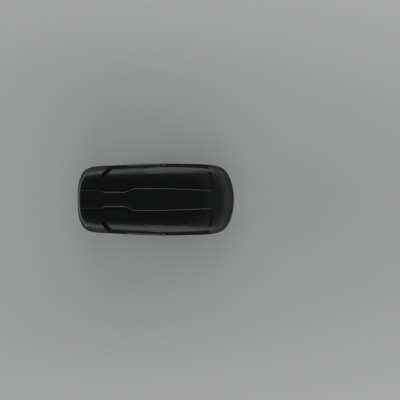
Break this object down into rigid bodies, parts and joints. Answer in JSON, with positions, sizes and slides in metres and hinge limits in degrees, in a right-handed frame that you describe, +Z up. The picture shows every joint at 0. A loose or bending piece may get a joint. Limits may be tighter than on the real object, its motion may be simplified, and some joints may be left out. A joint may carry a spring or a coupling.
{
  "type": "roof cargo box",
  "caption": "Long black roof cargo box: tapered lid with a raised centre panel on a shallow tray, side locks, lid stays and bar clamps.",
  "frame": {"origin": "bottom centre of the bounding box, under the four clamp hooks", "axes": "+X towards the nose, +Y towards the left side (the hinge side), +Z up"},
  "size_m": [1.9471, 0.906, 0.475],
  "materials": {
    "shell": "fine leather-grain texture, satin black",
    "trim": "satin dark grey",
    "moulded": "glass-filled nylon, matt black",
    "steel": "zinc plated",
    "dark_steel": "black e-coat",
    "spring_steel": "oiled spring steel",
    "aluminium": "mill finish",
    "nylon": "natural acetal",
    "webbing": "woven polyester webbing",
    "knob_grey": "satin grey",
    "soft_grip": "soft-touch dark grey"
  },
  "bodies": {
    "base": {"base_tray": "shell", "left_floor_rail": "steel", "right_floor_rail": "steel", "floor_rivets": "steel", "rear_base_beam": "dark_steel", "front_base_beam": "dark_steel", "stay_pivot_pins": "steel", "stay_springs": "spring_steel", "rear_left_arm": "dark_steel", "front_left_arm": "dark_steel", "left_glides": "nylon", "left_striker_brackets": "steel", "right_striker_brackets": "steel", "striker_pins": "steel", "pin_bushes": "nylon", "rear_strap": "webbing", "front_strap": "webbing", "strap_buckles": "dark_steel", "strap_anchors": "moulded"},
    "lid": {"lid_shell": "shell", "rear_lid_rail": "dark_steel", "front_lid_rail": "dark_steel", "left_side_rail": "aluminium", "right_side_rail": "aluminium", "left_saddles": "moulded", "right_saddles": "moulded", "lid_rivets": "steel", "left_grip_strip": "trim", "right_grip_strip": "trim", "left_lock_housing": "moulded", "right_lock_housing": "moulded", "shaft_bearings": "steel"},
    "rear_stay_arm": {"rear_right_arm": "dark_steel", "rear_right_glide": "nylon"},
    "front_stay_arm": {"front_right_arm": "dark_steel", "front_right_glide": "nylon"},
    "left_knob": {"left_lock_knob": "soft_grip"},
    "left_lockbar": {"left_lock_shaft": "steel", "left_lock_claws": "dark_steel"},
    "right_knob": {"right_lock_knob": "soft_grip"},
    "right_lockbar": {"right_lock_shaft": "steel", "right_lock_claws": "dark_steel"},
    "rear_left_clamp": {"rear_left_clamp_housing": "moulded"},
    "rear_left_clamp_knob": {"rear_left_clamp_knob": "knob_grey"},
    "rear_left_clamp_jaw_f": {"rear_left_clamp_jaw_front": "dark_steel"},
    "rear_left_clamp_jaw_r": {"rear_left_clamp_jaw_rear": "dark_steel"},
    "rear_right_clamp": {"rear_right_clamp_housing": "moulded"},
    "rear_right_clamp_knob": {"rear_right_clamp_knob": "knob_grey"},
    "rear_right_clamp_jaw_f": {"rear_right_clamp_jaw_front": "dark_steel"},
    "rear_right_clamp_jaw_r": {"rear_right_clamp_jaw_rear": "dark_steel"},
    "front_left_clamp": {"front_left_clamp_housing": "moulded"},
    "front_left_clamp_knob": {"front_left_clamp_knob": "knob_grey"},
    "front_left_clamp_jaw_f": {"front_left_clamp_jaw_front": "dark_steel"},
    "front_left_clamp_jaw_r": {"front_left_clamp_jaw_rear": "dark_steel"},
    "front_right_clamp": {"front_right_clamp_housing": "moulded"},
    "front_right_clamp_knob": {"front_right_clamp_knob": "knob_grey"},
    "front_right_clamp_jaw_f": {"front_right_clamp_jaw_front": "dark_steel"},
    "front_right_clamp_jaw_r": {"front_right_clamp_jaw_rear": "dark_steel"}
  },
  "joints": [
    {"name": "lid_hinge", "type": "hinge", "parent": "base", "child": "lid", "pos_m": [0, 0.365, 0.15], "axis": [-1, 0, 0], "range_deg": [0, 45]},
    {"name": "rear_stay_swing", "type": "hinge", "parent": "base", "child": "rear_stay_arm", "pos_m": [-0.7, 0, 0.15], "axis": [-1, 0, 0], "range_deg": [0, 90]},
    {"name": "front_stay_swing", "type": "hinge", "parent": "base", "child": "front_stay_arm", "pos_m": [0.66, 0, 0.15], "axis": [-1, 0, 0], "range_deg": [0, 90]},
    {"name": "left_lock_turn", "type": "hinge", "parent": "lid", "child": "left_knob", "pos_m": [0.095, 0.44, 0.231], "axis": [0, 1, 0], "range_deg": [0, 90]},
    {"name": "left_claw_swing", "type": "hinge", "parent": "lid", "child": "left_lockbar", "pos_m": [0, 0.332, 0.178], "axis": [1, 0, 0], "range_deg": [0, 50]},
    {"name": "right_lock_turn", "type": "hinge", "parent": "lid", "child": "right_knob", "pos_m": [0.095, -0.44, 0.231], "axis": [0, -1, 0], "range_deg": [0, 90]},
    {"name": "right_claw_swing", "type": "hinge", "parent": "lid", "child": "right_lockbar", "pos_m": [0, -0.332, 0.178], "axis": [-1, 0, 0], "range_deg": [0, 50]},
    {"name": "rear_left_clamp_slide", "type": "slide", "parent": "base", "child": "rear_left_clamp", "axis": [1, 0, 0], "range_m": [-0.08, 0.08]},
    {"name": "rear_left_clamp_knob_turn", "type": "hinge", "parent": "rear_left_clamp", "child": "rear_left_clamp_knob", "pos_m": [-0.42, 0.23, 0.1], "axis": [0, 0, 1], "range_deg": [0, 720]},
    {"name": "rear_left_clamp_jaw_f_open", "type": "hinge", "parent": "rear_left_clamp", "child": "rear_left_clamp_jaw_f", "pos_m": [-0.374, 0.23, 0.062], "axis": [0, -1, 0], "range_deg": [0, 25]},
    {"name": "rear_left_clamp_jaw_r_open", "type": "hinge", "parent": "rear_left_clamp", "child": "rear_left_clamp_jaw_r", "pos_m": [-0.466, 0.23, 0.062], "axis": [0, 1, 0], "range_deg": [0, 25]},
    {"name": "rear_right_clamp_slide", "type": "slide", "parent": "base", "child": "rear_right_clamp", "axis": [1, 0, 0], "range_m": [-0.08, 0.08]},
    {"name": "rear_right_clamp_knob_turn", "type": "hinge", "parent": "rear_right_clamp", "child": "rear_right_clamp_knob", "pos_m": [-0.42, -0.23, 0.1], "axis": [0, 0, 1], "range_deg": [0, 720]},
    {"name": "rear_right_clamp_jaw_f_open", "type": "hinge", "parent": "rear_right_clamp", "child": "rear_right_clamp_jaw_f", "pos_m": [-0.374, -0.23, 0.062], "axis": [0, -1, 0], "range_deg": [0, 25]},
    {"name": "rear_right_clamp_jaw_r_open", "type": "hinge", "parent": "rear_right_clamp", "child": "rear_right_clamp_jaw_r", "pos_m": [-0.466, -0.23, 0.062], "axis": [0, 1, 0], "range_deg": [0, 25]},
    {"name": "front_left_clamp_slide", "type": "slide", "parent": "base", "child": "front_left_clamp", "axis": [1, 0, 0], "range_m": [-0.08, 0.08]},
    {"name": "front_left_clamp_knob_turn", "type": "hinge", "parent": "front_left_clamp", "child": "front_left_clamp_knob", "pos_m": [0.35, 0.23, 0.1], "axis": [0, 0, 1], "range_deg": [0, 720]},
    {"name": "front_left_clamp_jaw_f_open", "type": "hinge", "parent": "front_left_clamp", "child": "front_left_clamp_jaw_f", "pos_m": [0.396, 0.23, 0.062], "axis": [0, -1, 0], "range_deg": [0, 25]},
    {"name": "front_left_clamp_jaw_r_open", "type": "hinge", "parent": "front_left_clamp", "child": "front_left_clamp_jaw_r", "pos_m": [0.304, 0.23, 0.062], "axis": [0, 1, 0], "range_deg": [0, 25]},
    {"name": "front_right_clamp_slide", "type": "slide", "parent": "base", "child": "front_right_clamp", "axis": [1, 0, 0], "range_m": [-0.08, 0.08]},
    {"name": "front_right_clamp_knob_turn", "type": "hinge", "parent": "front_right_clamp", "child": "front_right_clamp_knob", "pos_m": [0.35, -0.23, 0.1], "axis": [0, 0, 1], "range_deg": [0, 720]},
    {"name": "front_right_clamp_jaw_f_open", "type": "hinge", "parent": "front_right_clamp", "child": "front_right_clamp_jaw_f", "pos_m": [0.396, -0.23, 0.062], "axis": [0, -1, 0], "range_deg": [0, 25]},
    {"name": "front_right_clamp_jaw_r_open", "type": "hinge", "parent": "front_right_clamp", "child": "front_right_clamp_jaw_r", "pos_m": [0.304, -0.23, 0.062], "axis": [0, 1, 0], "range_deg": [0, 25]}
  ],
  "couplings": [
    {"joint": "rear_stay_swing", "follows": "lid_hinge", "ratio": 2},
    {"joint": "front_stay_swing", "follows": "lid_hinge", "ratio": 2},
    {"joint": "left_claw_swing", "follows": "left_lock_turn", "ratio": 0.5555},
    {"joint": "right_claw_swing", "follows": "right_lock_turn", "ratio": 0.5555},
    {"joint": "rear_left_clamp_jaw_f_open", "follows": "rear_left_clamp_knob_turn", "ratio": 0.0347},
    {"joint": "rear_left_clamp_jaw_r_open", "follows": "rear_left_clamp_knob_turn", "ratio": 0.0347},
    {"joint": "rear_right_clamp_jaw_f_open", "follows": "rear_right_clamp_knob_turn", "ratio": 0.0347},
    {"joint": "rear_right_clamp_jaw_r_open", "follows": "rear_right_clamp_knob_turn", "ratio": 0.0347},
    {"joint": "front_left_clamp_jaw_f_open", "follows": "front_left_clamp_knob_turn", "ratio": 0.0347},
    {"joint": "front_left_clamp_jaw_r_open", "follows": "front_left_clamp_knob_turn", "ratio": 0.0347},
    {"joint": "front_right_clamp_jaw_f_open", "follows": "front_right_clamp_knob_turn", "ratio": 0.0347},
    {"joint": "front_right_clamp_jaw_r_open", "follows": "front_right_clamp_knob_turn", "ratio": 0.0347}
  ]
}
